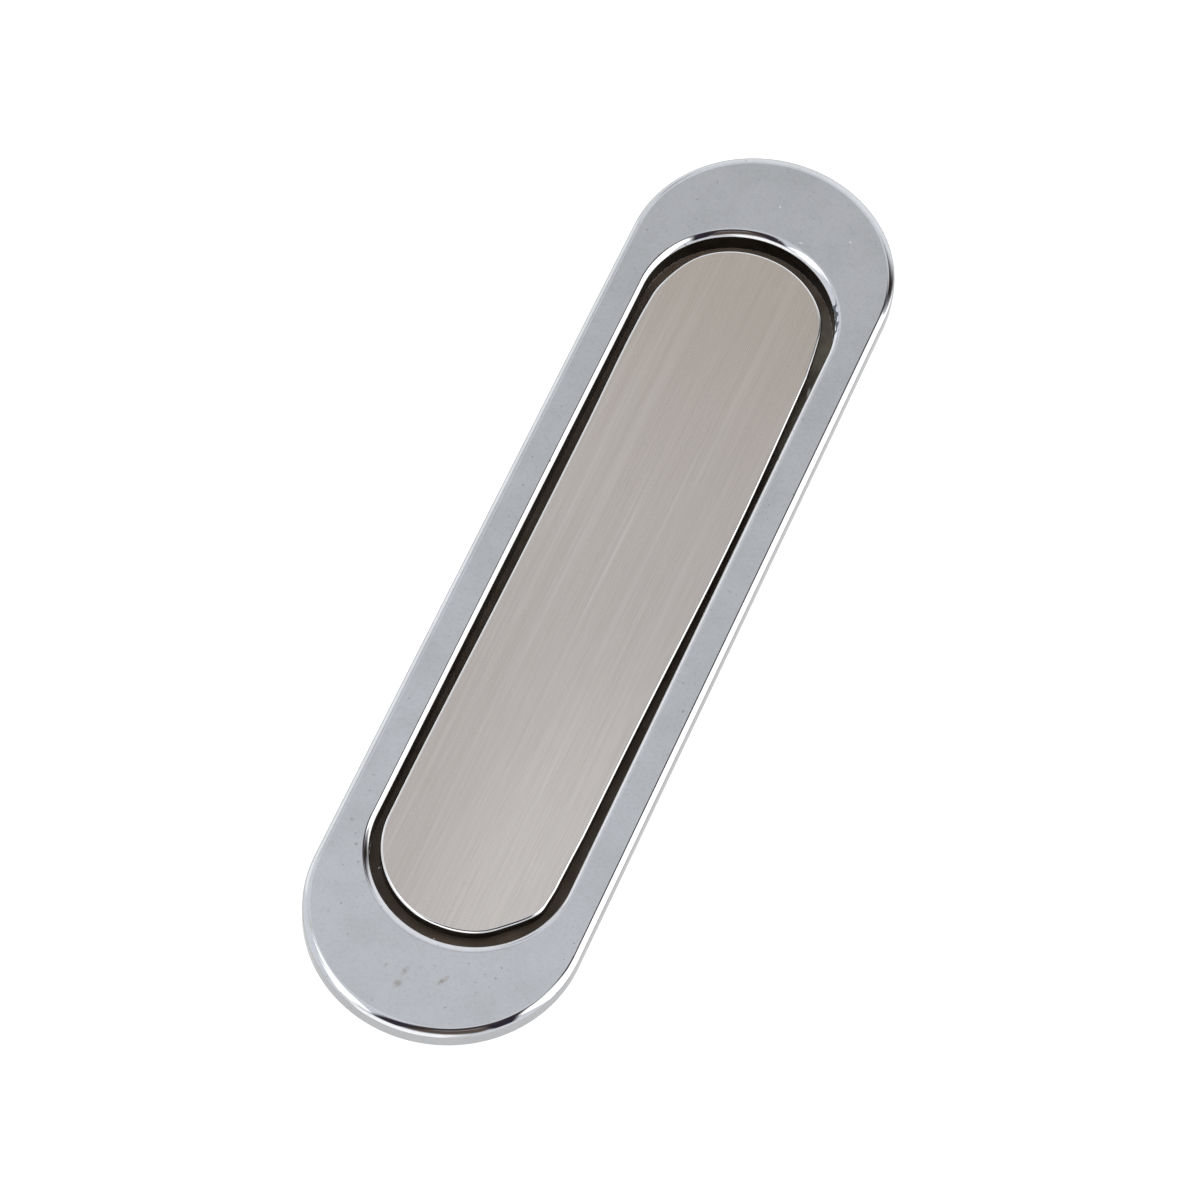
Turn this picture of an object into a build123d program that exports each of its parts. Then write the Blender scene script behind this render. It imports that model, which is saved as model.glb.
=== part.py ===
from build123d import *

import os
from math import cos, radians, sin

# Recessed pull for a sliding door, in millimetres.
# The door's face is the plane z = 0, +Z points out of the door and the long axis is Y.
# A chromed ring frames a brushed plate that stands almost flush with it.
# Pressed with a finger, the plate sinks into the cup and the ring's inner edge can be gripped.

# Overall size of the chromed ring
LENGTH = 155.0
WIDTH = 40.0
RING_HEIGHT = 2.8

# Widths of the ring's bands, each at the ends and along the sides
EDGE_END = 1.45
EDGE_SIDE = 1.1
EDGE_DROP = 1.0
FLAT_END = 12.0
FLAT_SIDE = 3.45
LIP_END = 1.4
LIP_SIDE = 0.92
LIP_DROP = 0.92
ROLL_START_ANGLE = 8.0
ROLL_SECTIONS = 6
GROOVE_END = 2.2
GROOVE_SIDE = 1.43

# Underside of the ring
SEAT_LAND = 2.0
CORE_DEPTH = 1.0
THROAT_DEPTH = 0.75
THROAT_WALL = 1.05
WEB_THICKNESS = 1.2
WEB_RELIEF = 0.2

# Tapped posts that take the two bolts through the door
BOLT_POST_DIAMETER = 7.0
BOLT_POST_LENGTH = 6.0
BOLT_POST_CHAMFER = 0.4
BOLT_TAPPING_DIAMETER = 3.3
BOLT_HOLE_ROOF = 0.8
BOLT_SPIGOT_DIAMETER = 5.0
BOLT_SPIGOT_LENGTH = 1.6
BOLT_PAD_WALL = 2.0

# Press plate and its travel
PLATE_DROP = 0.8
PLATE_THICKNESS = 1.6
PLATE_EDGE_RADIUS = 0.45
TRAVEL = 5.5

# Moulded carrier under the plate
ISLAND_INSET = 0.8
CARRIER_FLANGE = 1.2
SKIRT_WALL = 1.0
SKIRT_DEPTH = 3.0
SLEEVE_DIAMETER = 8.4
SLEEVE_LENGTH = 6.2
RIB_THICKNESS = 1.2
RIB_DEPTH = 2.4

# Guides and springs
GUIDE_INSET = 22.45
POST_DIAMETER = 4.0
POST_CHAMFER = 0.5
POST_SPIGOT_DIAMETER = 3.0
RIVET_HEAD_DIAMETER = 4.6
RIVET_HEAD_DEPTH = 0.8
BUSH_WALL = 0.95
BUSH_FLANGE = 0.6
BUSH_FLANGE_RIM = 0.8
SPRING_WIRE = 0.7
SPRING_DIAMETER = 10.2
SPRING_TURNS = 5
SPRING_END_PITCH = 0.8
SPRING_POINTS_PER_TURN = 8
SPRING_SEAT_WALL = 1.0
SPRING_SEAT_HEIGHT = 1.2
BUFFER_THICKNESS = 1.0
BUFFER_RIM = 1.6

# Recess cup
CUP_WALL = 1.2
CUP_FLOOR = 1.8
LUG_THICKNESS = 1.4
FLOOR_FILLET = 0.8

# Small screws
SCREW_DIAMETER = 2.5
SCREW_HEAD_DIAMETER = 4.5
SCREW_HEAD_HEIGHT = 1.5
SCREW_SLOT_WIDTH = 0.7
SCREW_SLOT_DEPTH = 0.7
SCREW_BOSS_DIAMETER = 5.0
SCREW_TIP_ROOM = 0.2
PLATE_SCREW_INSET = 5.65
PLATE_SCREW_SHARES = (1 / 3, 1.0)
PLATE_BOSS_HEIGHT = 1.6
PLATE_BOSS_ROOF = 1.0
CUP_SCREW_SPACING = 13.2
CUP_SCREW_BEHIND_BOLT = 2.4
CUP_BOSS_ROOF = 0.8

# Clearances
STOP_GAP = 0.05
NEST_GAP = 0.1
GUIDE_GAP = 0.3
POST_GAP = 0.05
BUSH_GAP = 0.01
THREAD_GAP = 0.02
SOCKET_GAP = 0.02
SOCKET_ROOM = 0.1
RIVET_GAP = 0.02
HOLE_GAP = 0.2
POST_TOP_GAP = 0.4
BUFFER_GAP = 0.2
BUFFER_BORE_GAP = 0.15
SPRING_GAP = 0.3
LUG_GAP = 1.0
CUT_MARGIN = 1.0

# Plan outlines worked out from the bands, as (length, width)
def inset(outline, end, side):
    """Take a band off each end and each side of a stadium outline."""
    return (outline[0] - 2 * end, outline[1] - 2 * side)


OUTER = (LENGTH, WIDTH)
FACE = inset(OUTER, EDGE_END, EDGE_SIDE)
OPENING = inset(FACE, FLAT_END, FLAT_SIDE)
THROAT = inset(OPENING, LIP_END, LIP_SIDE)
PLATE = inset(THROAT, GROOVE_END, GROOVE_SIDE)
LAND_INNER = inset(OUTER, SEAT_LAND, SEAT_LAND)
THROAT_OUTER = inset(THROAT, -THROAT_WALL, -THROAT_WALL)
CUP_INNER = inset(THROAT_OUTER, -NEST_GAP, -NEST_GAP)
CUP_OUTER = inset(CUP_INNER, -CUP_WALL, -CUP_WALL)
CARRIER = inset(CUP_INNER, GUIDE_GAP, GUIDE_GAP)
ISLAND = inset(PLATE, ISLAND_INSET, ISLAND_INSET)
LUGS = (LAND_INNER[0] - 2 * LUG_GAP, CUP_OUTER[1])

# Heights worked out from the stack, from the front to the back
FACE_Z = RING_HEIGHT
CEILING_Z = CORE_DEPTH
PLATE_TOP_Z = RING_HEIGHT - PLATE_DROP
PLATE_BACK_Z = PLATE_TOP_Z - PLATE_THICKNESS
FLANGE_TOP_Z = -THROAT_DEPTH - STOP_GAP
FLANGE_BACK_Z = FLANGE_TOP_Z - CARRIER_FLANGE
SLEEVE_END_Z = FLANGE_BACK_Z - SLEEVE_LENGTH
BUSH_END_Z = SLEEVE_END_Z - BUSH_FLANGE
FLOOR_Z = BUSH_END_Z - TRAVEL - BUFFER_GAP - BUFFER_THICKNESS
BACK_Z = FLOOR_Z - CUP_FLOOR
POST_TOP_Z = PLATE_BACK_Z - TRAVEL - POST_TOP_GAP
LUG_BACK_Z = -LUG_THICKNESS

# Places along the long axis
BOLT_Y = (CUP_OUTER[0] + LAND_INNER[0]) / 4
GUIDE_Y = PLATE[0] / 2 - GUIDE_INSET
CUP_SCREW_Y = BOLT_Y - CUP_SCREW_BEHIND_BOLT
ENDS = {"upper": 1, "lower": -1}
CUP_SCREW_PLACES = [
    (side * CUP_SCREW_SPACING / 2, end * CUP_SCREW_Y) for end in (1, -1) for side in (1, -1)
]
PLATE_SCREW_Y = ISLAND[0] / 2 - PLATE_SCREW_INSET
PLATE_SCREW_PLACES = [
    (0, end * share * PLATE_SCREW_Y) for share in PLATE_SCREW_SHARES for end in (1, -1)
]

# Guide diameters
BUSH_BORE = POST_DIAMETER + 2 * POST_GAP
BUSH_OUTSIDE = BUSH_BORE + 2 * BUSH_WALL
SLEEVE_BORE = BUSH_OUTSIDE + 2 * BUSH_GAP
SEAT_BORE = SPRING_DIAMETER + SPRING_WIRE + 2 * SPRING_GAP
SOCKET_BORE = BOLT_SPIGOT_DIAMETER + 2 * SOCKET_GAP
TAPPED = SCREW_DIAMETER + 2 * THREAD_GAP


def stadium(outline, z):
    """Face with two straight sides and two round ends, long axis along Y."""
    return Pos(0, 0, z) * SlotOverall(outline[0], outline[1], rotation=90)


def prism(outline, low, high):
    """Upright solid on a stadium outline, between two heights."""
    return extrude(stadium(outline, low), amount=high - low)


def rod(diameter, low, high, place=(0, 0)):
    """Upright cylinder between two heights."""
    disc = Pos(place[0], place[1], low) * Circle(diameter / 2)
    return extrude(disc, amount=high - low)


def tube(outside, bore, low, high, place=(0, 0)):
    """Upright tube between two heights."""
    return rod(outside, low, high, place) - rod(bore, low, high, place)


def block(size_x, size_y, low, high, place=(0, 0)):
    """Upright rectangular block between two heights."""
    face = Pos(place[0], place[1], low) * Rectangle(size_x, size_y)
    return extrude(face, amount=high - low)


def cone(low_diameter, high_diameter, low, high, place=(0, 0)):
    """Upright cone between two heights."""
    sections = [
        Pos(place[0], place[1], low) * Circle(low_diameter / 2),
        Pos(place[0], place[1], high) * Circle(high_diameter / 2),
    ]
    return loft(sections)


def rolled_edge(wall, end, side, drop):
    """Solid whose side rolls from a wall's outline up to the flat face, over a band and a drop."""
    start = radians(ROLL_START_ANGLE)
    sections = []
    for step in range(ROLL_SECTIONS):
        angle = start + (radians(90) - start) * step / (ROLL_SECTIONS - 1)
        share = (1 - sin(angle)) / (1 - sin(start))
        depth = drop * (cos(start) - cos(angle)) / cos(start)
        sections.append(stadium(inset(wall, end * share, side * share), FACE_Z - depth))
    return loft(sections)


def lip_tool():
    """Opening of the ring: a rolled lip that runs down into the throat."""
    lip = rolled_edge(THROAT, -LIP_END, -LIP_SIDE, LIP_DROP)
    return lip + prism(THROAT, -THROAT_DEPTH - CUT_MARGIN, FACE_Z - LIP_DROP)


def ring_underside():
    """Cored-out back of the ring, with the throat wall, pads, bosses and webs left standing."""
    core = prism(LAND_INNER, 0, CEILING_Z) - prism(THROAT_OUTER, 0, CEILING_Z)
    for end in ENDS.values():
        core -= rod(SOCKET_BORE + 2 * BOLT_PAD_WALL, 0, CEILING_Z, (0, end * BOLT_Y))
        core -= block(LAND_INNER[1], WEB_THICKNESS, WEB_RELIEF, CEILING_Z, (0, end * BOLT_Y))
    for place in CUP_SCREW_PLACES:
        core -= rod(SCREW_BOSS_DIAMETER, 0, CEILING_Z, place)
    return core


def face_ring():
    """Cast and chromed ring with its throat, the sockets of the bolt posts and tapped bosses."""
    ring = prism(OUTER, 0, FACE_Z - EDGE_DROP) + rolled_edge(OUTER, EDGE_END, EDGE_SIDE, EDGE_DROP)
    ring -= ring_underside()
    ring += prism(THROAT_OUTER, -THROAT_DEPTH, 0)
    ring -= lip_tool()
    for end in ENDS.values():
        ring -= rod(SOCKET_BORE, 0, BOLT_SPIGOT_LENGTH + SOCKET_ROOM, (0, end * BOLT_Y))
    for place in CUP_SCREW_PLACES:
        ring -= rod(TAPPED, 0, FACE_Z - CUP_BOSS_ROOF, place)
    return ring


def bolt_post(place):
    """Tapped post pressed into the ring's socket, for a bolt through the door."""
    post = rod(BOLT_POST_DIAMETER, -BOLT_POST_LENGTH, 0, place)
    post = chamfer(post.faces().sort_by(Axis.Z)[0].edges(), BOLT_POST_CHAMFER)
    post += rod(BOLT_SPIGOT_DIAMETER, 0, BOLT_SPIGOT_LENGTH, place)
    return post - rod(BOLT_TAPPING_DIAMETER, -BOLT_POST_LENGTH, -BOLT_HOLE_ROOF, place)


def press_plate():
    """Brushed plate with a polished round edge and four tapped bosses behind."""
    plate = prism(PLATE, PLATE_BACK_Z, PLATE_TOP_Z)
    plate = fillet(plate.faces().sort_by(Axis.Z)[-1].edges(), PLATE_EDGE_RADIUS)
    for place in PLATE_SCREW_PLACES:
        boss_end = PLATE_BACK_Z - PLATE_BOSS_HEIGHT
        plate += rod(SCREW_BOSS_DIAMETER, boss_end, PLATE_BACK_Z, place)
        plate -= rod(TAPPED, boss_end, PLATE_TOP_Z - PLATE_BOSS_ROOF, place)
    return plate


def plate_carrier():
    """Moulded carrier: island, trapped flange, guiding skirt, ribs and sleeves."""
    carrier = prism(ISLAND, FLANGE_TOP_Z, PLATE_BACK_Z)
    carrier += prism(CARRIER, FLANGE_BACK_Z - SKIRT_DEPTH, FLANGE_TOP_Z)
    hollow = inset(CARRIER, SKIRT_WALL, SKIRT_WALL)
    inside = prism(hollow, FLANGE_BACK_Z - SKIRT_DEPTH, FLANGE_BACK_Z)
    for side in (1, -1):
        rib_x = side * (SEAT_BORE / 2 + SPRING_SEAT_WALL + RIB_THICKNESS)
        inside -= block(RIB_THICKNESS, hollow[0], FLANGE_BACK_Z - RIB_DEPTH, FLANGE_BACK_Z, (rib_x, 0))
    carrier -= inside
    for end in ENDS.values():
        place = (0, end * GUIDE_Y)
        seat = (SEAT_BORE + 2 * SPRING_SEAT_WALL, SEAT_BORE)
        carrier += tube(*seat, FLANGE_BACK_Z - SPRING_SEAT_HEIGHT, FLANGE_BACK_Z, place)
        carrier += rod(SLEEVE_DIAMETER, SLEEVE_END_Z, FLANGE_BACK_Z, place)
        carrier -= rod(SLEEVE_BORE, SLEEVE_END_Z, FLANGE_BACK_Z, place)
        carrier -= rod(BUSH_BORE, FLANGE_BACK_Z, PLATE_BACK_Z, place)
    for place in PLATE_SCREW_PLACES:
        pocket_z = PLATE_BACK_Z - PLATE_BOSS_HEIGHT - THREAD_GAP
        carrier -= rod(SCREW_BOSS_DIAMETER + HOLE_GAP, pocket_z, PLATE_BACK_Z, place)
        carrier -= rod(SCREW_DIAMETER + 2 * HOLE_GAP, FLANGE_BACK_Z, PLATE_BACK_Z, place)
    return carrier


def recess_cup():
    """Moulded cup with forked end lugs, spring seats and holes for the guide posts."""
    cup = prism(CUP_OUTER, BACK_Z, CEILING_Z)
    cup = fillet(cup.faces().sort_by(Axis.Z)[0].edges(), FLOOR_FILLET)
    cup += prism(LUGS, LUG_BACK_Z, 0)
    cup -= prism(CUP_INNER, FLOOR_Z, CEILING_Z)
    for end in ENDS.values():
        place = (0, end * GUIDE_Y)
        seat = (SEAT_BORE + 2 * SPRING_SEAT_WALL, SEAT_BORE)
        cup += tube(*seat, FLOOR_Z, FLOOR_Z + SPRING_SEAT_HEIGHT, place)
        cup -= rod(POST_SPIGOT_DIAMETER + 2 * RIVET_GAP, BACK_Z, FLOOR_Z, place)
        head = (RIVET_HEAD_DIAMETER + 2 * RIVET_GAP, POST_SPIGOT_DIAMETER + 2 * RIVET_GAP)
        cup -= cone(*head, BACK_Z, BACK_Z + RIVET_HEAD_DEPTH, place)
        notch = BOLT_POST_DIAMETER + 2 * HOLE_GAP
        notch_end_y = LUGS[0] / 2 + CUT_MARGIN
        notch_length = notch_end_y - BOLT_Y + notch / 2
        cup -= block(notch, notch_length, LUG_BACK_Z, 0, (0, end * (notch_end_y - notch_length / 2)))
    for place in CUP_SCREW_PLACES:
        cup -= rod(SCREW_DIAMETER + 2 * HOLE_GAP, LUG_BACK_Z, 0, place)
    return cup


def guide_post(place):
    """Steel post riveted into the cup's floor."""
    post = rod(POST_DIAMETER, FLOOR_Z, POST_TOP_Z, place)
    post = chamfer(post.faces().sort_by(Axis.Z)[-1].edges(), POST_CHAMFER)
    post += rod(POST_SPIGOT_DIAMETER, BACK_Z, FLOOR_Z, place)
    post += cone(RIVET_HEAD_DIAMETER, POST_SPIGOT_DIAMETER, BACK_Z, BACK_Z + RIVET_HEAD_DEPTH, place)
    return post


def guide_bush(place):
    """Flanged bush pressed into a sleeve of the carrier."""
    bush = rod(BUSH_OUTSIDE, SLEEVE_END_Z, FLANGE_BACK_Z, place)
    bush += rod(BUSH_OUTSIDE + 2 * BUSH_FLANGE_RIM, BUSH_END_Z, SLEEVE_END_Z, place)
    return bush - rod(BUSH_BORE, BUSH_END_Z, FLANGE_BACK_Z, place)


def return_spring(place):
    """Compression spring between the cup's floor and the carrier, its two end turns closed and ground."""
    length = FLANGE_BACK_Z - FLOOR_Z
    pitch = (length - 2 * SPRING_END_PITCH) / SPRING_TURNS
    points = []
    for step in range((SPRING_TURNS + 2) * SPRING_POINTS_PER_TURN + 1):
        turn = step / SPRING_POINTS_PER_TURN
        open_turns = min(max(turn - 1, 0), SPRING_TURNS)
        height = SPRING_END_PITCH * (turn - open_turns) + pitch * open_turns
        angle = radians(360 * turn)
        points.append((SPRING_DIAMETER / 2 * cos(angle), SPRING_DIAMETER / 2 * sin(angle), height))
    path = Spline(*points)
    coil = sweep(Plane(path @ 0, z_dir=path % 0) * Circle(SPRING_WIRE / 2), path=path, is_frenet=True)
    coil &= rod(SPRING_DIAMETER + 2 * SPRING_WIRE, 0, length)
    return Pos(place[0], place[1], FLOOR_Z) * coil


def buffer_ring(place):
    """Rubber ring on the cup's floor that stops the bush softly."""
    bore = POST_DIAMETER + 2 * BUFFER_BORE_GAP
    return tube(bore + 2 * BUFFER_RIM, bore, FLOOR_Z, FLOOR_Z + BUFFER_THICKNESS, place)


def small_screw(place, seat_z, tip_z):
    """Pan-head screw driven up from behind, its head under seat_z."""
    head = rod(SCREW_HEAD_DIAMETER, seat_z - SCREW_HEAD_HEIGHT, seat_z, place)
    head = fillet(head.faces().sort_by(Axis.Z)[0].edges(), SCREW_HEAD_HEIGHT / 2)
    for size in ((SCREW_HEAD_DIAMETER / 2, SCREW_SLOT_WIDTH), (SCREW_SLOT_WIDTH, SCREW_HEAD_DIAMETER / 2)):
        low = seat_z - SCREW_HEAD_HEIGHT
        head -= block(*size, low, low + SCREW_SLOT_DEPTH, place)
    return head + rod(SCREW_DIAMETER, seat_z, tip_z, place)


def parts():
    """Every piece of the pull by its node's name."""
    pieces = {
        "face_ring": face_ring(),
        "press_plate": press_plate(),
        "plate_carrier": plate_carrier(),
        "recess_cup": recess_cup(),
    }
    for end, sign in ENDS.items():
        place = (0, sign * GUIDE_Y)
        pieces["bolt_post_" + end] = bolt_post((0, sign * BOLT_Y))
        pieces["guide_post_" + end] = guide_post(place)
        pieces["guide_bush_" + end] = guide_bush(place)
        pieces["return_spring_" + end] = return_spring(place)
        pieces["buffer_ring_" + end] = buffer_ring(place)
    cup_screw_tip = FACE_Z - CUP_BOSS_ROOF - SCREW_TIP_ROOM
    for number, place in enumerate(CUP_SCREW_PLACES, 1):
        pieces[f"cup_screw_{number}"] = small_screw(place, LUG_BACK_Z, cup_screw_tip)
    plate_screw_tip = PLATE_TOP_Z - PLATE_BOSS_ROOF - SCREW_TIP_ROOM
    for number, place in enumerate(PLATE_SCREW_PLACES, 1):
        pieces[f"plate_screw_{number}"] = small_screw(place, FLANGE_BACK_Z, plate_screw_tip)
    return pieces


os.makedirs("parts", exist_ok=True)
for name, piece in parts().items():
    piece.label = name
    export_step(piece, f"parts/{name}.step")
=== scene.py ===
import math
from collections import namedtuple

import bmesh
import bpy
from mathutils import Matrix, Vector


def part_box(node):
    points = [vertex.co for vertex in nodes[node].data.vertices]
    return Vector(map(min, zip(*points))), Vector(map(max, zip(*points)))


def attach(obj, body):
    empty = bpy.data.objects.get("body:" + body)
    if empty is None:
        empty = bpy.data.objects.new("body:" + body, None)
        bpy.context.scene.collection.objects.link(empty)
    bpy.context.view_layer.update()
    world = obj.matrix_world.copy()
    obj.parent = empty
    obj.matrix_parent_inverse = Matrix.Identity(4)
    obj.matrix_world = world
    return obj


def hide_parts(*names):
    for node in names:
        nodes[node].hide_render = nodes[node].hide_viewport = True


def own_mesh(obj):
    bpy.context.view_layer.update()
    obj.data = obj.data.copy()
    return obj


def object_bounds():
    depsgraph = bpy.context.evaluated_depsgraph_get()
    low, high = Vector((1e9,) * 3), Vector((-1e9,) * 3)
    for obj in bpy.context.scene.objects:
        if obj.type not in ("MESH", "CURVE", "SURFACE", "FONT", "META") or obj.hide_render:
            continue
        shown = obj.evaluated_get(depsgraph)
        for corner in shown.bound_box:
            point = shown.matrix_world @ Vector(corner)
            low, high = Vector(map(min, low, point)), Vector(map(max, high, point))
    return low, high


# Looks of the recessed pull, in metres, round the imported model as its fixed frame.
# +Z points out of the door and the long axis is Y. The ring's flat face is the highest plane.

MM = 0.001

# Bands of the ring and the plate, each at the ends and along the sides
EDGE_END = 1.45 * MM
EDGE_SIDE = 1.1 * MM
EDGE_DROP = 0.8 * MM
FLAT_END = 12.0 * MM
FLAT_SIDE = 3.45 * MM
LIP_END = 1.4 * MM
LIP_SIDE = 0.92 * MM
LIP_DROP = 0.8 * MM
ROLL_SOFT_SHARE = 0.25
ROLL_START_ANGLE = 11.0
ROLL_TURN_SHARE = 0.8
ROLL_TURN_ANGLE = 36.0
ROLL_STEPS = 16
GROOVE_END = 2.2 * MM
GROOVE_SIDE = 1.43 * MM

# Metal left over the blind holes in the ring's back
HOLE_ROOF = 0.7 * MM

# Plate and its polished round edge
PLATE_THICKNESS = 1.6 * MM
PLATE_EDGE = 0.45 * MM
PLATE_EDGE_STEPS = 10

# Where the plate was cut unevenly: a place on its outline, the error's reach and its depth, in millimetres,
# with a steepness for its fading towards the plate's other side
CutError = namedtuple("CutError", "x y reach depth")
CUT_ERRORS = (
    CutError(13.1, 14.0, 28.0, 0.73), CutError(13.1, -47.0, 5.0, -0.28), CutError(12.2, -52.6, 1.7, 0.3),
    CutError(8.8, -56.6, 2.6, -0.3), CutError(13.0, 49.0, 3.6, -0.5), CutError(-13.1, -40.0, 25.0, 0.33),
    CutError(-13.1, 38.0, 10.0, 0.22), CutError(-12.4, 52.0, 4.5, -0.45),
)
SIDE_FADE = 4

# Return springs, their two end turns closed
SPRING_DIAMETER = 10.2 * MM
SPRING_WIRE = 0.7 * MM
SPRING_TURNS = 5
SPRING_END_PITCH = 0.8 * MM

# Steps round each outline, along each spring turn and round its wire
ARC_STEPS = 112
SIDE_STEPS = 24
SPRING_STEPS = 48
WIRE_SIDES = 14

# Faces that belong to the back of a piece, corners that stay crisp, and digits to which corners are joined
SURFACE_TOLERANCE = 0.04 * MM
WALL_TOLERANCE = 0.1 * MM
FACING_BACK = 0.5
SHARP_DEGREES = 40
FACE_AREA_WEIGHT = 100
WELD_DIGITS = 7

# Marks on the surfaces, in millimetres: a middle, half sizes and a turn
Mark = namedtuple("Mark", "x y half_length half_width degrees")

# Middle part of a noise's range, and places of the colour sockets where two colours are mixed
NOISE_MIDDLE = (0.3, 0.7)
MIX_COLOUR_INPUTS = (6, 7)
MIX_COLOUR_OUTPUT = 2

# Chrome of the ring, with its smudges, nicks, chips and a painted reflection of a dark rippled pattern on
# the lip. Here and below, noise scales are in cycles per metre, bump heights in metres and the depths of
# marks in millimetres.
CHROME = (0.565, 0.570, 0.585)
CHROME_SMEAR = (0.520, 0.526, 0.536)
CHROME_SMEAR_SCALE = 130
CHROME_SMEAR_RANGE = (0.35, 0.7)
CHROME_ROUGH_RANGE = (0.3, 0.8)
CHROME_ROUGH = (0.035, 0.06)
CHROME_SPECKLE_SCALE = 2300
CHROME_SPECKLE_RANGE = (0.45, 0.7)
CHROME_SPECKLE_SHARE = 0.16
ORANGE_PEEL_SCALE = 300
ORANGE_PEEL_DEPTH = 0.003 * MM
MICRO_PEEL_SCALE = 2600
MICRO_PEEL_DEPTH = 0.0006 * MM
PIT = (0.20, 0.20, 0.20)
PIT_SCALE = 1900
PIT_RANGE = (0.74, 0.79)
PIT_SHARE = 0.6
GRIME = (0.30, 0.27, 0.22)
SMUDGES = (
    Mark(4.2, -68.2, 1.4, 0.5, 62), Mark(-1.2, -69.0, 1.1, 0.5, 80), Mark(-1.4, -71.2, 0.9, 0.7, 70),
    Mark(-4.0, -69.3, 0.5, 0.3, 90), Mark(-17.4, -50.6, 0.5, 0.4, 0), Mark(-15.3, -53.9, 0.4, 0.3, 30),
    Mark(-11.5, 69.0, 0.25, 0.2, 0), Mark(-12.4, 60.0, 0.22, 0.18, 0), Mark(0.6, 63.4, 0.2, 0.18, 0),
)
SMUDGE_SCALE = 1500
SMUDGE_RANGE = (0.30, 0.58)
SMUDGE_SHARE = 0.7
SMUDGE_ROUGH = 0.2
NICKED = (0.80, 0.80, 0.82)
NICKS = (Mark(-1.4, 68.9, 0.32, 0.16, 100), Mark(10.4, 67.5, 0.3, 0.2, 0), Mark(3.8, 64.3, 0.4, 0.16, 20))
CHIPS = (Mark(-15.2, 14.4, 0.35, 0.16, 80), Mark(14.7, 28.6, 0.4, 0.14, 95))
CHIP_DEPTH = 2.0
# Painted reflection: a dark rippled pattern in the right lip, below the flat face
LIP_REFLECTION = (Mark(13.4, 55.0, 4.6, 1.3, 109),)
LIP_REFLECTION_DEPTH = 3.0
LIP_REFLECTION_DARK = (0.10, 0.11, 0.12)
LIP_REFLECTION_SCALES = (1300, 900, 2500)
LIP_REFLECTION_RANGE = (0.46, 0.50)
LIP_REFLECTION_TOP = 0.03 * MM
LIP_REFLECTION_FULL = 0.15 * MM

# Carrier with painted light on one part of the groove, specks of dust and one painted reflection, and the
# other plastics
CARRIER_DARK = (0.105, 0.078, 0.060)
CARRIER_LIGHT = (0.150, 0.118, 0.092)
# Painted light: lighter patches on the carrier in the groove's upper right and along its right side, where
# light falls
GROOVE_LIGHT = (0.27, 0.25, 0.195)
LIT_GROOVE_PATCHES = (Mark(12.6, 49.5, 10.5, 3.4, 106), Mark(14.1, 36.0, 11.0, 1.6, 90))
CARRIER_MARK_DEPTH = 4.0
GROOVE_LIGHT_SCALE = 420
GROOVE_LIGHT_RANGE = (0.3, 0.6)
GROOVE_LIGHT_SHARES = (0.45, 1.0)
CARRIER_ROUGH = (0.34, 0.5)
CARRIER_SPECULAR = 0.2
CARRIER_GRAIN = 0.02 * MM
PLASTIC_CLOUD_SCALE = 220
PLASTIC_SHINE_SCALE = 500
PLASTIC_SPREAD = 0.06
SPECK_AND_GLINT = (0.80, 0.78, 0.74)
# Light specks of dust on the carrier; the last, longer mark is a painted reflection in the groove
SPECKS_AND_GLINT = (
    Mark(-11.6, -54.3, 0.26, 0.14, 60), Mark(2.5, -59.4, 0.18, 0.12, 90), Mark(-0.2, -61.2, 0.18, 0.12, 90),
    Mark(14.0, 42.8, 1.4, 0.3, 102),
)

# Brushed nickel of the plate, from its far end to its near end, a tone gradient that paints the plate's
# shading, with its streaks and scratches
NICKEL_FAR = (0.465, 0.412, 0.355)
NICKEL_MIDDLE = (0.525, 0.480, 0.445)
NICKEL_NEAR = (0.650, 0.607, 0.565)
NICKEL_STREAK = (0.70, 0.67, 0.63)
NICKEL_SCORE = (0.30, 0.265, 0.235)
LONG_STREAKS = (
    Mark(-0.9, 3.0, 24.0, 0.28, 89.4), Mark(-1.7, 6.0, 20.0, 0.16, 89.2), Mark(4.8, -30.0, 16.0, 0.2, 90),
)
SCRATCHED = (Mark(-4.0, -54.0, 12.0, 8.0, 0), Mark(9.0, 50.0, 5.0, 8.0, 0))
FAR_TONE_Y = (5 * MM, 60 * MM)
NEAR_TONE_Y = (8 * MM, -50 * MM)
NEAR_TONE_X = (-13 * MM, 8 * MM)
NEAR_TONE_LEAST = 0.05
COARSE_BRUSHING = (3800, 45, 3800)
FINE_BRUSHING = (11000, 160, 11000)
BRUSHED_BANDS = (900, 14, 900)
BRUSHING_SHARE = 0.5
BRUSHING_DEPTH = 0.0022 * MM
BRUSHING_ROUGH = (0.27, 0.33)
BAND_ROUGH = (-0.03, 0.03)
BAND_RANGE = (0.48, 0.75)
BAND_SHARE = 0.2
STREAK_SHARE = 0.35
SCORE_RANGE = (0.35, 0.7)
SCORE_SHARE = 0.2
SCRATCHES = (3600, 130, 3600)
SCRATCH_DEGREES = 20
SCRATCH_RANGE = (0.70, 0.76)
SCRATCH_BRIGHT = (0.82, 0.80, 0.78)
SCRATCH_SHARE = 0.45
SCRATCH_DEPTH = 0.005 * MM
ANISOTROPY = 0.75
ANISOTROPY_TURN = 0.25

# Polished edge of the plate, and the walls in the groove, their base colour darkened as painted shade
EDGE_BRIGHT = (0.74, 0.73, 0.72)
EDGE_DULL = (0.66, 0.65, 0.64)
EDGE_ROUGH = (0.06, 0.12)
EDGE_WAVE = 0.003 * MM
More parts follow.
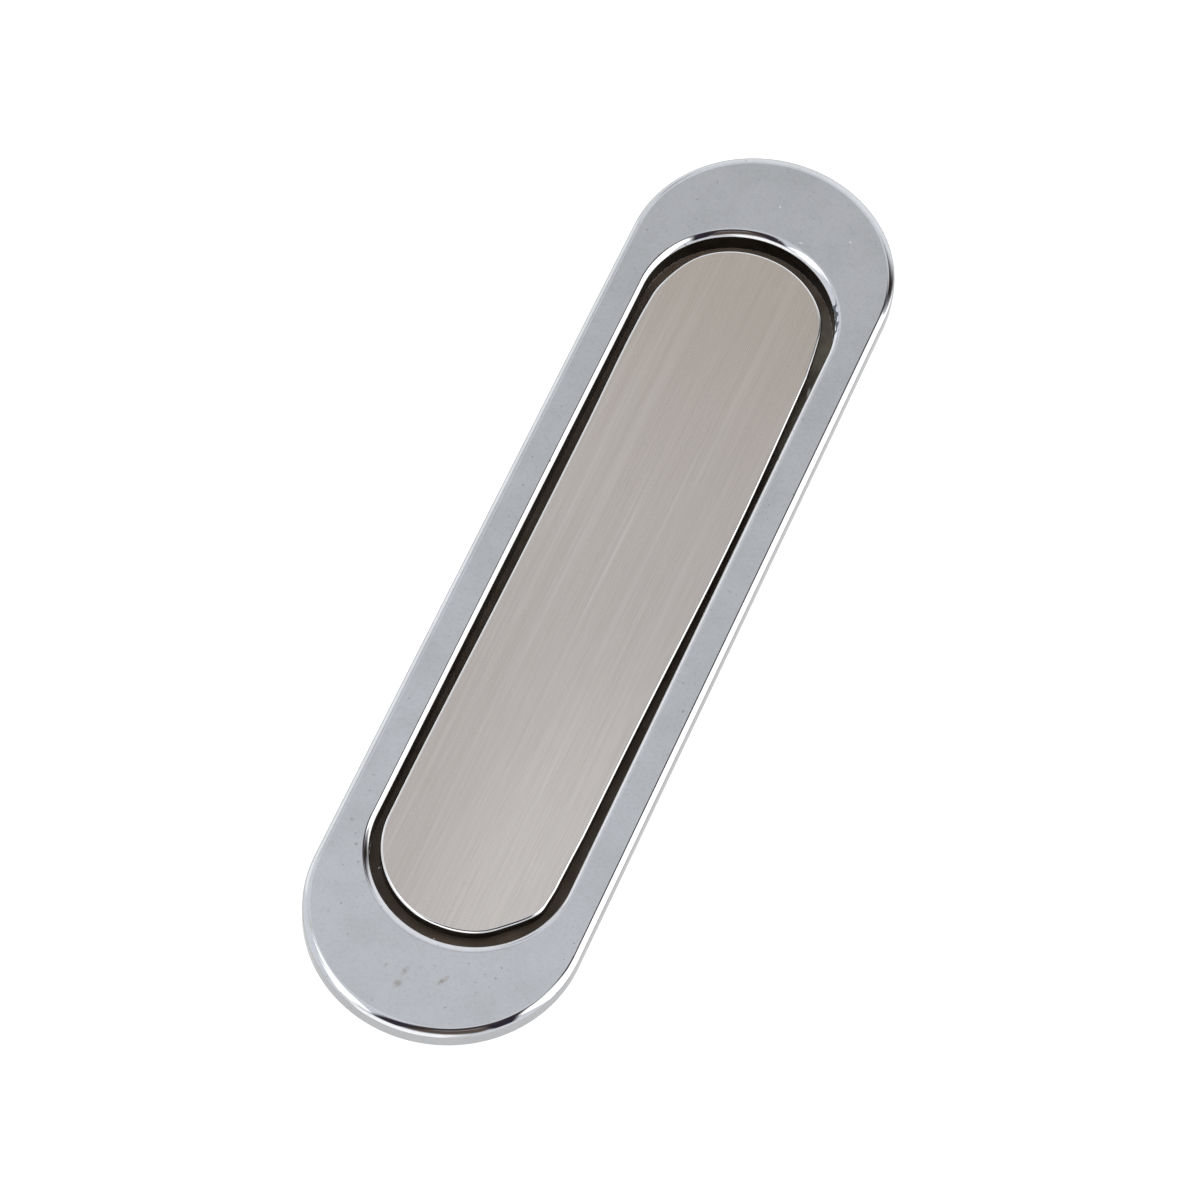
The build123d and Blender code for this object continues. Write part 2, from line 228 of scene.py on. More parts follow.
# Painted shade: near-black base tones for the groove's walls, standing in for the shade that falls in the
# groove
GROOVE_SHADE_DARK = (0.07, 0.065, 0.06)
GROOVE_SHADE_LIGHT = (0.12, 0.11, 0.10)
GROOVE_WALL_ROUGH = (0.07, 0.14)
GROOVE_SHADE_SCALES = (400, 400, 900)
GROOVE_WALL_WAVE = 0.005 * MM

# Marks and shine of the steels, and the dark and light tones of the hidden pieces
STEEL_MARKS = 0.003 * MM
STEEL_SPREAD = (-0.05, 0.08)
CUP_TONES = ((0.018, 0.018, 0.019), (0.030, 0.030, 0.031))
BUSH_TONES = ((0.72, 0.70, 0.64), (0.80, 0.78, 0.72))
RUBBER_TONES = ((0.014, 0.014, 0.014), (0.024, 0.024, 0.024))
POST_TONES = ((0.52, 0.51, 0.50), (0.62, 0.61, 0.60))
SPRING_TONES = ((0.30, 0.30, 0.31), (0.42, 0.42, 0.42))
SCREW_TONES = ((0.56, 0.57, 0.58), (0.68, 0.68, 0.66))

# Floor of the studio
FLOOR_HALF = 3.0
FLOOR_GAP = 0.02 * MM
FLOOR_GLOW = 0.85
FLOOR_MIRRORED_GLOW = 0.5
FLOOR_GREY = (0.34, 0.34, 0.34, 1)

# Cards of the studio, placed in the plan of the sky from above, where the horizon is a circle of radius 1
Card = namedtuple("Card", "x y half_width half_height degrees blur")

# The flat face mirrors the grey card to the camera, and the ring's round edges mirror the others beside it
SKY_HIGH = (1.03, 1.06, 1.12)
SKY_LOW = (1.12, 1.13, 1.15)
CARDS = (
    ("near window", Card(0.64, 0.26, 0.45, 0.285, 0, 0.015), (2.4, 2.4, 2.35)),
    ("far window", Card(0.86, 0.55, 0.18, 0.30, 0, 0.04), (2.2, 2.2, 2.15)),
    ("left window", Card(-0.37, -0.02, 0.095, 0.32, 0, 0.02), (2.3, 2.35, 2.35)),
    ("left sill", Card(-0.49, -0.26, 0.09, 0.20, 0, 0.04), (2.1, 2.15, 2.15)),
    ("right frame", Card(0.13, 0.47, 0.15, 0.11, 0, 0.015), (0.10, 0.08, 0.10)),
    ("far left window", Card(-0.92, 0.36, 0.14, 0.18, 0, 0.03), (1.4, 1.42, 1.45)),
    ("left shelf", Card(-0.55, 0.47, 0.10, 0.06, 0, 0.03), (0.72, 0.72, 0.76)),
    ("left recess", Card(-0.45, 0.24, 0.16, 0.05, 20, 0.05), (0.85, 0.86, 0.85)),
    ("far left beam", Card(-0.48, 0.80, 0.05, 0.16, -25, 0.04), (0.50, 0.50, 0.54)),
    ("far sheet", Card(-0.10, 0.90, 0.80, 0.12, 0, 0.10), (1.24, 1.26, 1.30)),
    ("far corner", Card(0.38, 0.68, 0.25, 0.11, 12, 0.09), (0.05, 0.04, 0.035)),
    ("room", Card(0.18, -0.22, 0.30, 0.20, 0, 0.08), (0.17, 0.13, 0.11)),
    ("left beam", Card(-0.11, -0.10, 0.09, 0.35, -13, 0.03), (0.055, 0.045, 0.06)),
    ("right beam", Card(0.31, -0.01, 0.42, 0.09, -43, 0.03), (0.045, 0.037, 0.055)),
    ("lintel", Card(0.03, 0.13, 0.14, 0.14, 0, 0.03), (0.09, 0.07, 0.065)),
    ("near sheet", Card(-0.05, -0.77, 0.45, 0.27, 0, 0.06), (1.70, 1.70, 1.70)),
)
GREY_CARD = Card(-0.15, 0.47, 0.13, 0.11, 0, 0.02)
GREY_NEAR = (0.865, 0.89, 0.93)
GREY_FAR = (0.735, 0.75, 0.775)
GREY_SPAN = (0.40, 0.54)
SKY_SPAN = (0.0, 0.7)

# Camera at the photograph's angle: its place in millimetres, its right, up and back axes, and its lens
CAMERA_PLACE = (131.99, -416.22, 764.53)
CAMERA_AXES = ((0.91966, 0.38930, 0.05185), (-0.36286, 0.79179, 0.49134), (0.15022, -0.47068, 0.86942))
LENS = 184.38
SENSOR = 36

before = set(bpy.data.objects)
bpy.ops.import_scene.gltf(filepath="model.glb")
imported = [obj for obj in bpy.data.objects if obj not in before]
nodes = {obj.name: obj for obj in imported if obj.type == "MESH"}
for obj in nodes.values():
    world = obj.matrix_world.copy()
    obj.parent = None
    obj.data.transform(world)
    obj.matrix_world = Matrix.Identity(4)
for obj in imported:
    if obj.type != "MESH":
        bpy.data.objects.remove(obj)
first_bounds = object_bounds()
ring_low, ring_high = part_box("face_ring")
plate_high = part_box("press_plate")[1]
FACE_Z = ring_high.z
THROAT_END_Z = ring_low.z
PLATE_TOP_Z = plate_high.z
PLATE_BACK_Z = PLATE_TOP_Z - PLATE_THICKNESS
FLOOR_Z = first_bounds[0][2]


def inset(outline, end, side):
    """Take a band off each end and each side of a stadium outline."""
    return (outline[0] - 2 * end, outline[1] - 2 * side)


OUTER = (ring_high.y - ring_low.y, ring_high.x - ring_low.x)
FACE = inset(OUTER, EDGE_END, EDGE_SIDE)
OPENING = inset(FACE, FLAT_END, FLAT_SIDE)
THROAT = inset(OPENING, LIP_END, LIP_SIDE)
PLATE = inset(THROAT, GROOVE_END, GROOVE_SIDE)


def stadium_points(outline):
    """Points round a stadium, anticlockwise from the lower end of its right side."""
    radius = outline[1] / 2
    straight = (outline[0] - outline[1]) / 2
    points = []
    for sign in (1, -1):
        for step in range(SIDE_STEPS):
            share = 2 * step / SIDE_STEPS - 1
            points.append((sign * radius, sign * share * straight))
        for step in range(ARC_STEPS):
            angle = math.pi * step / ARC_STEPS
            points.append((sign * radius * math.cos(angle), sign * (straight + radius * math.sin(angle))))
    return points


def distance_to(outline, x, y):
    """How far a point lies outside a stadium outline."""
    straight = (outline[0] - outline[1]) / 2
    return math.hypot(x, max(abs(y) - straight, 0)) - outline[1] / 2


def roll_curve():
    """Shares of a rolled band's width and drop, from the flat over a wide arc and then a tight one."""
    start = math.radians(ROLL_START_ANGLE)
    turn = math.radians(ROLL_TURN_ANGLE)
    wide = (ROLL_TURN_SHARE - ROLL_SOFT_SHARE) / (math.sin(turn) - math.sin(start))
    tight = (1 - ROLL_TURN_SHARE) / (1 - math.sin(turn))
    curve = [(0.0, 0.0)]
    share, depth = ROLL_SOFT_SHARE, ROLL_SOFT_SHARE * math.tan(start) / 2
    for radius, low, high in ((wide, start, turn), (tight, turn, math.pi / 2)):
        for step in range(ROLL_STEPS + 1):
            angle = low + (high - low) * step / ROLL_STEPS
            curve.append((share + radius * (math.sin(angle) - math.sin(low)),
                          depth + radius * (math.cos(low) - math.cos(angle))))
        share, depth = curve.pop()
    curve.append((share, depth))
    return [(across, down / depth) for across, down in curve]


def rolled(wall, end, side, drop):
    """Profile that rolls from the flat face down to a wall's outline, over a band and a drop."""
    return [
        (*inset(wall, end * (1 - share), side * (1 - share)), FACE_Z - drop * fall)
        for share, fall in roll_curve()
    ]


def ring_profile():
    """Profile of the ring's front: up the outer wall, over the flat and down the throat."""
    edge = rolled(OUTER, EDGE_END, EDGE_SIDE, EDGE_DROP)
    lip = rolled(THROAT, -LIP_END, -LIP_SIDE, LIP_DROP)
    return [(*OUTER, 0.0)] + edge[::-1] + lip + [(*THROAT, THROAT_END_Z)]


def plate_profile():
    """Profile of the plate's wall, as one outline, and of its round edge up to the flat."""
    wall = [(*PLATE, PLATE_BACK_Z)]
    edge = []
    for step in range(PLATE_EDGE_STEPS + 1):
        angle = math.pi / 2 * step / PLATE_EDGE_STEPS
        band = PLATE_EDGE * (1 - math.cos(angle))
        height = PLATE_TOP_Z - PLATE_EDGE * (1 - math.sin(angle))
        edge.append((*inset(PLATE, band, band), height))
    return wall, edge


def uneven(x, y):
    """Where a point of the plate's outline lies after the plate was cut unevenly."""
    straight = (PLATE[0] - PLATE[1]) / 2
    out = Vector((x, y - max(-straight, min(straight, y)))).normalized()
    move = 0.0
    for spot in CUT_ERRORS:
        same_side = min(max(SIDE_FADE * out.x * math.copysign(1, spot.x), 0), 1)
        away = math.hypot(x - spot.x * MM, y - spot.y * MM) / (spot.reach * MM)
        move += same_side * spot.depth * MM * math.exp(-away ** 2)
    return x + move * out.x, y + move * out.y


def add_bands(mesh, profile):
    """Sweeps a profile round the stadium. Returns its loops of vertices and its bands of faces."""
    loops = [
        [mesh.verts.new((x, y, z)) for x, y in stadium_points((length, width))]
        for length, width, z in profile
    ]
    bands = []
    for low, high in zip(loops, loops[1:]):
        band = []
        for here in range(len(low)):
            after = (here + 1) % len(low)
            band.append(mesh.faces.new((low[here], low[after], high[after], high[here])))
        bands.append(band)
    return loops, bands


def add_hidden_side(mesh, node, keep):
    """Adds the faces of a CAD node that a test keeps, such as its underside."""
    source = nodes[node].data
    made = {}
    for polygon in source.polygons:
        corners = [source.vertices[index].co for index in polygon.vertices]
        if not keep(corners, polygon.normal):
            continue
        keys = [tuple(round(value, WELD_DIGITS) for value in corner) for corner in corners]
        if len(set(keys)) < len(keys):
            continue
        for key, corner in zip(keys, corners):
            if key not in made:
                made[key] = mesh.verts.new(corner)
        if mesh.faces.get([made[key] for key in keys]) is None:
            mesh.faces.new([made[key] for key in keys])


def finished(mesh, name, materials, body, node):
    """Turns a bmesh into a piece that stands for a CAD node and rides with its body."""
    data = bpy.data.meshes.new(name)
    for face in mesh.faces:
        face.smooth = True
    mesh.to_mesh(data)
    mesh.free()
    for material in materials:
        data.materials.append(material)
    piece = bpy.data.objects.new(name, data)
    bpy.context.scene.collection.objects.link(piece)
    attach(piece, body)
    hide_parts(node)
    return piece


def crease(piece):
    """Keeps the shading crisp at edges where faces meet at a wide angle."""
    mesh = bmesh.new()
    mesh.from_mesh(piece.data)
    limit = math.radians(SHARP_DEGREES)
    found = [e.index for e in mesh.edges if len(e.link_faces) == 2 and e.calc_face_angle(0) > limit]
    mesh.free()
    for index in found:
        piece.data.edges[index].use_edge_sharp = True


def weight_normals(piece):
    """Keeps wide faces flat beside rounded edges, and creases sharp corners."""
    crease(piece)
    modifier = piece.modifiers.new("normals", "WEIGHTED_NORMAL")
    modifier.keep_sharp = True
    modifier.weight = FACE_AREA_WEIGHT


# Node helpers


def new_material(name):
    """A material with its node tree, its surface shader and a coordinate in the object's own space."""
    material = bpy.data.materials.new(name)
    material.use_nodes = True
    tree = material.node_tree
    shader = tree.nodes["Principled BSDF"]
    place = tree.nodes.new("ShaderNodeTexCoord").outputs["Object"]
    return material, tree, shader, place


def add(tree, kind, values=None, **settings):
    """Adds a node, sets its properties, and fills its inputs with numbers or with other nodes' outputs."""
    made = tree.nodes.new(kind)
    for name, value in settings.items():
        setattr(made, name, value)
    for key, value in (values or {}).items():
        if isinstance(value, bpy.types.NodeSocket):
            tree.links.new(value, made.inputs[key])
        else:
            made.inputs[key].default_value = value
    return made


def stretched(tree, place, scale):
    """Coordinates scaled along each axis."""
    return add(tree, "ShaderNodeMapping", {"Vector": place, "Scale": scale}).outputs["Vector"]


def noise(tree, place, scale, detail, rough=0.5):
    """Grey noise from 0 to 1."""
    values = {"Vector": place, "Scale": scale, "Detail": detail, "Roughness": rough}
    return add(tree, "ShaderNodeTexNoise", values).outputs["Fac"]


def ranged(tree, value, low, high, to_low=0.0, to_high=1.0):
    """Maps a range of a value to another, with smooth ends."""
    values = {"Value": value, "From Min": low, "From Max": high, "To Min": to_low, "To Max": to_high}
    return add(tree, "ShaderNodeMapRange", values, interpolation_type="SMOOTHSTEP").outputs["Result"]


def math_node(tree, operation, first, second=0.0):
    """A sum, product or other operation on one or two values."""
    return add(tree, "ShaderNodeMath", {0: first, 1: second}, operation=operation).outputs["Value"]


def mixed(tree, share, first, second):
    """Mix of two colours by a share."""
    made = add(tree, "ShaderNodeMix", {"Factor": share}, data_type="RGBA")
    for index, value in zip(MIX_COLOUR_INPUTS, (first, second)):
        socket = made.inputs[index]
        if isinstance(value, bpy.types.NodeSocket):
            tree.links.new(value, socket)
        else:
            socket.default_value = (*value, 1.0)
    return made.outputs[MIX_COLOUR_OUTPUT]


def bump(tree, height, distance, under=None):
    """A bump of a height given as a share of a distance, over another bump."""
    values = {"Height": height, "Distance": distance}
    if under is not None:
        values["Normal"] = under
    return add(tree, "ShaderNodeBump", values).outputs["Normal"]


def mask(tree, place, z, marks, core=0.2, depth=1.0):
    """Mask of oval marks round a level, in millimetres, each fading out from its core."""
    whole = None
    for one in marks:
        turned = add(tree, "ShaderNodeMapping", {
            "Vector": place, "Location": (one.x * MM, one.y * MM, z),
            "Rotation": (0, 0, math.radians(one.degrees)),
            "Scale": (one.half_length * MM, one.half_width * MM, depth * MM),
        }, vector_type="TEXTURE").outputs["Vector"]
        away = add(tree, "ShaderNodeVectorMath", {0: turned}, operation="LENGTH").outputs["Value"]
        oval = ranged(tree, away, core, 1.0, 1.0, 0.0)
        whole = oval if whole is None else math_node(tree, "MAXIMUM", whole, oval)
    return whole


def link(tree, shader, **inputs):
    """Fills inputs of a shader, with spaces in their names written as underscores."""
    for name, value in inputs.items():
        socket = shader.inputs[name.replace("_", " ")]
        if isinstance(value, bpy.types.NodeSocket):
            tree.links.new(value, socket)
        else:
            socket.default_value = value


# Materials


def chrome():
    """Polished chrome plate with a faint orange peel, fine pits, nicks, a few spots of grime and a painted
    reflection on the lip.
    """
    material, tree, shader, place = new_material("polished_chrome")
    cloud = noise(tree, place, scale=CHROME_SMEAR_SCALE, detail=5, rough=0.6)
    speckle = noise(tree, place, scale=CHROME_SPECKLE_SCALE, detail=3, rough=0.7)
    tone = mixed(tree, ranged(tree, cloud, *CHROME_SMEAR_RANGE), CHROME, CHROME_SMEAR)
    tone = mixed(tree, ranged(tree, speckle, *CHROME_SPECKLE_RANGE, 0.0, CHROME_SPECKLE_SHARE), tone, GRIME)
    pits = ranged(tree, noise(tree, place, scale=PIT_SCALE, detail=1), *PIT_RANGE)
    tone = mixed(tree, math_node(tree, "MULTIPLY", pits, PIT_SHARE), tone, PIT)
    spots = mask(tree, place, FACE_Z, SMUDGES, core=0.3)
    patches = ranged(tree, noise(tree, place, scale=SMUDGE_SCALE, detail=5, rough=0.7), *SMUDGE_RANGE)
    spots = math_node(tree, "MULTIPLY", spots, patches)
    tone = mixed(tree, math_node(tree, "MULTIPLY", spots, SMUDGE_SHARE), tone, GRIME)
    tone = mixed(tree, mask(tree, place, FACE_Z, NICKS, core=0.5), tone, NICKED)
    tone = mixed(tree, mask(tree, place, FACE_Z, CHIPS, core=0.5, depth=CHIP_DEPTH), tone, GRIME)
    # Painted reflection: dark ripples painted into the lip's colour
    below = ranged(tree, add(tree, "ShaderNodeSeparateXYZ", {"Vector": place}).outputs["Z"],
                   FACE_Z - LIP_REFLECTION_FULL, FACE_Z - LIP_REFLECTION_TOP, 1.0, 0.0)
    waves = noise(tree, stretched(tree, place, LIP_REFLECTION_SCALES), scale=1.0, detail=1)
    painted_reflection = ranged(tree, waves, *LIP_REFLECTION_RANGE)
    reflection_area = mask(tree, place, FACE_Z, LIP_REFLECTION, core=0.6, depth=LIP_REFLECTION_DEPTH)
    painted_reflection = math_node(tree, "MULTIPLY", painted_reflection, reflection_area)
    tone = mixed(tree, math_node(tree, "MULTIPLY", painted_reflection, below), tone, LIP_REFLECTION_DARK)
    rough = math_node(tree, "ADD", ranged(tree, cloud, *CHROME_ROUGH_RANGE, *CHROME_ROUGH),
                      math_node(tree, "MULTIPLY", spots, SMUDGE_ROUGH))
    peel = bump(tree, noise(tree, place, scale=ORANGE_PEEL_SCALE, detail=2), ORANGE_PEEL_DEPTH)
    fine = bump(tree, noise(tree, place, scale=MICRO_PEEL_SCALE, detail=3), MICRO_PEEL_DEPTH, under=peel)
    link(tree, shader, Metallic=1.0, Base_Color=tone, Roughness=rough, Normal=fine)
    return material


def brushed_nickel():
    """Satin nickel brushed along its length, with painted shading from end to end, long streaks and light
    scratches.
    """
    material, tree, shader, place = new_material("brushed_nickel")
    coarse = noise(tree, stretched(tree, place, COARSE_BRUSHING), scale=1.0, detail=1)
    fine = noise(tree, stretched(tree, place, FINE_BRUSHING), scale=1.0, detail=1)
    lines = math_node(tree, "ADD", math_node(tree, "MULTIPLY", coarse, BRUSHING_SHARE),
                      math_node(tree, "MULTIPLY", fine, BRUSHING_SHARE))
    bands = noise(tree, stretched(tree, place, BRUSHED_BANDS), scale=1.0, detail=3)
    axes = add(tree, "ShaderNodeSeparateXYZ", {"Vector": place}).outputs
    # Painted shading: the plate is darker towards its far end and lighter towards its near end, more so on
    # its right
    far = ranged(tree, axes["Y"], *FAR_TONE_Y)
    near = math_node(tree, "MULTIPLY", ranged(tree, axes["Y"], *NEAR_TONE_Y),
                     ranged(tree, axes["X"], *NEAR_TONE_X, NEAR_TONE_LEAST, 1.0))
    tone = mixed(tree, near, mixed(tree, far, NICKEL_MIDDLE, NICKEL_FAR), NICKEL_NEAR)
    long_streaks = mask(tree, place, PLATE_TOP_Z, LONG_STREAKS)
    streaks = math_node(tree, "MAXIMUM", ranged(tree, bands, *BAND_RANGE, 0.0, BAND_SHARE),
                        math_node(tree, "MULTIPLY", long_streaks, STREAK_SHARE))
    tone = mixed(tree, streaks, tone, NICKEL_STREAK)
    tone = mixed(tree, ranged(tree, lines, *SCORE_RANGE, 0.0, SCORE_SHARE), tone, NICKEL_SCORE)
    rough = math_node(tree, "ADD", ranged(tree, lines, *NOISE_MIDDLE, *BRUSHING_ROUGH),
                      ranged(tree, bands, *NOISE_MIDDLE, *BAND_ROUGH))
    grain = bump(tree, lines, BRUSHING_DEPTH)
    scratch_place = add(tree, "ShaderNodeMapping", {
        "Vector": place, "Rotation": (0, 0, math.radians(SCRATCH_DEGREES)), "Scale": SCRATCHES,
    }).outputs["Vector"]
    scratches = ranged(tree, noise(tree, scratch_place, scale=1.0, detail=2), *SCRATCH_RANGE)
    scratches = math_node(tree, "MULTIPLY", scratches, mask(tree, place, PLATE_TOP_Z, SCRATCHED))
    tone = mixed(tree, math_node(tree, "MULTIPLY", scratches, SCRATCH_SHARE), tone, SCRATCH_BRIGHT)
    scored = bump(tree, scratches, -SCRATCH_DEPTH, under=grain)
    tangent = add(tree, "ShaderNodeTangent", direction_type="UV_MAP", uv_map="brushing").outputs["Tangent"]
    link(tree, shader, Metallic=1.0, Base_Color=tone, Roughness=rough, Normal=scored)
    link(tree, shader, Anisotropic=ANISOTROPY, Anisotropic_Rotation=ANISOTROPY_TURN, Tangent=tangent)
    return material


def polished_edge():
    """The plate's round edge, polished bright."""
    material, tree, shader, place = new_material("polished_nickel")
    tone = mixed(tree, noise(tree, place, scale=300, detail=3), EDGE_BRIGHT, EDGE_DULL)
    rough = ranged(tree, noise(tree, place, scale=900, detail=3), *NOISE_MIDDLE, *EDGE_ROUGH)
    wave = bump(tree, noise(tree, place, scale=500, detail=2), EDGE_WAVE)
    link(tree, shader, Metallic=1.0, Base_Color=tone, Roughness=rough, Normal=wave)
    return material


def shaded_groove_wall():
    """Walls inside the groove, their base colour darkened as painted shade."""
    material, tree, shader, place = new_material("groove_wall_painted_shade")
    shade_cloud = noise(tree, stretched(tree, place, GROOVE_SHADE_SCALES), scale=1.0, detail=4)
    # Painted shade: the groove's walls are painted nearly black where shade falls
    tone = mixed(tree, ranged(tree, shade_cloud, *NOISE_MIDDLE), GROOVE_SHADE_DARK, GROOVE_SHADE_LIGHT)
    rough = ranged(tree, noise(tree, place, scale=1200, detail=3), *NOISE_MIDDLE, *GROOVE_WALL_ROUGH)
    wave = bump(tree, noise(tree, place, scale=900, detail=3), GROOVE_WALL_WAVE)
    link(tree, shader, Metallic=1.0, Base_Color=tone, Roughness=rough, Normal=wave)
    return material


def plastic(name, tones, grain_scale, grain_depth, rough):
    """Moulded plastic with a fine spark-eroded grain."""
    material, tree, shader, place = new_material(name)
    cloud = noise(tree, place, scale=PLASTIC_CLOUD_SCALE, detail=4)
    tone = mixed(tree, ranged(tree, cloud, *NOISE_MIDDLE), *tones)
    shine = ranged(tree, noise(tree, place, scale=PLASTIC_SHINE_SCALE, detail=3), *NOISE_MIDDLE,
                   rough - PLASTIC_SPREAD, rough + PLASTIC_SPREAD)
    grain = bump(tree, noise(tree, place, scale=grain_scale, detail=3, rough=0.6), grain_depth)
    link(tree, shader, Base_Color=tone, Roughness=shine, Normal=grain)
    return material


def carrier_plastic_with_painted_light():
    """The carrier's dark brown plastic, with painted light on one part of the groove, a few specks of dust
    and one painted reflection.
    """
    material, tree, shader, place = new_material("carrier_plastic")
    cloud = noise(tree, place, scale=PLASTIC_CLOUD_SCALE, detail=4)
    tone = mixed(tree, ranged(tree, cloud, *NOISE_MIDDLE), CARRIER_DARK, CARRIER_LIGHT)
    # Painted light: lighter patches where light falls on the carrier in the groove
    lit_patch = mask(tree, place, PLATE_BACK_Z, LIT_GROOVE_PATCHES, core=0.2, depth=CARRIER_MARK_DEPTH)
    patches = ranged(tree, noise(tree, place, scale=GROOVE_LIGHT_SCALE, detail=4), *GROOVE_LIGHT_RANGE, *GROOVE_LIGHT_SHARES)
    lit_patch = math_node(tree, "MULTIPLY", lit_patch, patches)
    tone = mixed(tree, lit_patch, tone, GROOVE_LIGHT)
    # Specks of dust, and one painted reflection
    tone = mixed(tree, mask(tree, place, PLATE_BACK_Z, SPECKS_AND_GLINT, core=0.4, depth=CARRIER_MARK_DEPTH), tone, SPECK_AND_GLINT)
    shine = noise(tree, place, scale=PLASTIC_SHINE_SCALE, detail=3)
    shine = ranged(tree, shine, *NOISE_MIDDLE, *CARRIER_ROUGH)
    grain = bump(tree, noise(tree, place, scale=3500, detail=3, rough=0.6), CARRIER_GRAIN)
    link(tree, shader, Base_Color=tone, Roughness=shine, Normal=grain, Specular_IOR_Level=CARRIER_SPECULAR)
    return material


def steel(name, tones, rough, grain):
    """Drawn or plated steel with fine marks along its height."""
    material, tree, shader, place = new_material(name)
    lines = noise(tree, stretched(tree, place, grain), scale=1.0, detail=3)
    tone = mixed(tree, ranged(tree, lines, *NOISE_MIDDLE), *tones)
    shine = ranged(tree, noise(tree, place, scale=700, detail=3), *NOISE_MIDDLE,
                   rough + STEEL_SPREAD[0], rough + STEEL_SPREAD[1])
    marks = bump(tree, lines, STEEL_MARKS)
    link(tree, shader, Metallic=1.0, Base_Color=tone, Roughness=shine, Normal=marks)
    return material


ring_chrome = chrome()
plate_nickel = brushed_nickel()
plate_edge = polished_edge()
shaded_groove_walls = shaded_groove_wall()
carrier_plastic = carrier_plastic_with_painted_light()
cup_plastic = plastic("cup_plastic", CUP_TONES, grain_scale=3000, grain_depth=0.03 * MM, rough=0.55)
bush_plastic = plastic("bush_plastic", BUSH_TONES, grain_scale=2500, grain_depth=0.006 * MM, rough=0.4)
buffer_rubber = plastic("buffer_rubber", RUBBER_TONES, grain_scale=4000, grain_depth=0.02 * MM, rough=0.8)
post_steel = steel("post_steel", POST_TONES, rough=0.25, grain=(3000, 3000, 300))
spring_steel = steel("spring_steel", SPRING_TONES, rough=0.32, grain=(1500, 1500, 1500))
screw_steel = steel("screw_steel", SCREW_TONES, rough=0.28, grain=(1200, 1200, 1200))


# Visible pieces


def behind_ring(corners, normal):
    """True for a face of the casting's back: its land, its cored channel and its holes."""
    if max(corner.z for corner in corners) > FACE_Z - HOLE_ROOF + SURFACE_TOLERANCE:
        return False
    outer_wall = all(distance_to(OUTER, c.x, c.y) > -WALL_TOLERANCE for c in corners)
    throat_wall = all(distance_to(THROAT, c.x, c.y) < WALL_TOLERANCE for c in corners)
    return normal.z < -FACING_BACK or not (outer_wall or throat_wall)


def behind_plate(corners, normal):
    """True for a face of the plate's back, its bosses and its holes."""
    if max(corner.z for corner in corners) > PLATE_TOP_Z - PLATE_EDGE - SURFACE_TOLERANCE:
        return False
    outer_wall = all(distance_to(PLATE, c.x, c.y) > -WALL_TOLERANCE for c in corners)
    return normal.z < -FACING_BACK or not outer_wall


def make_ring():
    """The chromed ring: a smooth profile in front, the casting's own back behind."""
    mesh = bmesh.new()
    bands = add_bands(mesh, ring_profile())[1]
    for face in bands[-1]:
        face.material_index = 1
    add_hidden_side(mesh, "face_ring", behind_ring)
    materials = [ring_chrome, shaded_groove_walls]
    piece = finished(mesh, "chromed_ring", materials, "housing", "face_ring")
    weight_normals(piece)


def make_plate():
    """The brushed plate with its polished edge, and UVs that give the brushing's direction."""
    wall, edge = plate_profile()
    mesh = bmesh.new()
    loops, bands = add_bands(mesh, wall + edge)
    for face in bands[0]:
        face.material_index = 2
    for face in sum(bands[1:], []):
        face.material_index = 1
    mesh.faces.new(loops[-1])
    add_hidden_side(mesh, "press_plate", behind_plate)
    for vertex in mesh.verts:
        if distance_to(PLATE, vertex.co.x, vertex.co.y) > -PLATE_EDGE - SURFACE_TOLERANCE:
            vertex.co.x, vertex.co.y = uneven(vertex.co.x, vertex.co.y)
    brushing = mesh.loops.layers.uv.new("brushing")
    for face in mesh.faces:
        for corner in face.loops:
            corner[brushing].uv = (corner.vert.co.x / PLATE[0], corner.vert.co.y / PLATE[0])
    materials = [plate_nickel, plate_edge, shaded_groove_walls]
    piece = finished(mesh, "brushed_plate", materials, "plunger", "press_plate")
    weight_normals(piece)


def spring_centre(turn, radius, low, height):
    """Point on the spring's centre line after a number of turns, its two end turns closed."""
    pitch = (height - 2 * SPRING_END_PITCH) / SPRING_TURNS
    open_turns = min(max(turn - 1, 0), SPRING_TURNS)
    angle = 2 * math.pi * turn
    rise = SPRING_END_PITCH * (turn - open_turns) + pitch * open_turns
    return Vector((radius * math.cos(angle), radius * math.sin(angle), low + rise))


def make_spring(end):
    """A return spring with ground ends."""
    node = "return_spring_" + end
    low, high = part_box(node)
    middle = Vector(((low.x + high.x) / 2, (low.y + high.y) / 2, 0))
    radius = SPRING_DIAMETER / 2
    steps = (SPRING_TURNS + 2) * SPRING_STEPS
    mesh = bmesh.new()
    loops = []
    for step in range(steps + 1):
        centre = spring_centre(step / SPRING_STEPS, radius, low.z, high.z - low.z)
        out = Vector((centre.x, centre.y, 0)).normalized()
        loop = []
        for side in range(WIRE_SIDES):
            angle = 2 * math.pi * side / WIRE_SIDES
            place = centre + SPRING_WIRE / 2 * (math.cos(angle) * out + math.sin(angle) * Vector((0, 0, 1)))
            place.z = min(max(place.z, low.z), high.z)
            loop.append(mesh.verts.new(middle + place))
        loops.append(loop)
    for before, after in zip(loops, loops[1:]):
        for side in range(WIRE_SIDES):
            beside = (side + 1) % WIRE_SIDES
            mesh.faces.new((before[side], before[beside], after[beside], after[side]))
    mesh.faces.new(loops[0])
    mesh.faces.new(loops[-1][::-1])
    bmesh.ops.recalc_face_normals(mesh, faces=mesh.faces)
    piece = finished(mesh, "coil_spring_" + end, [spring_steel], "housing", node)
    crease(piece)
    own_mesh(piece)


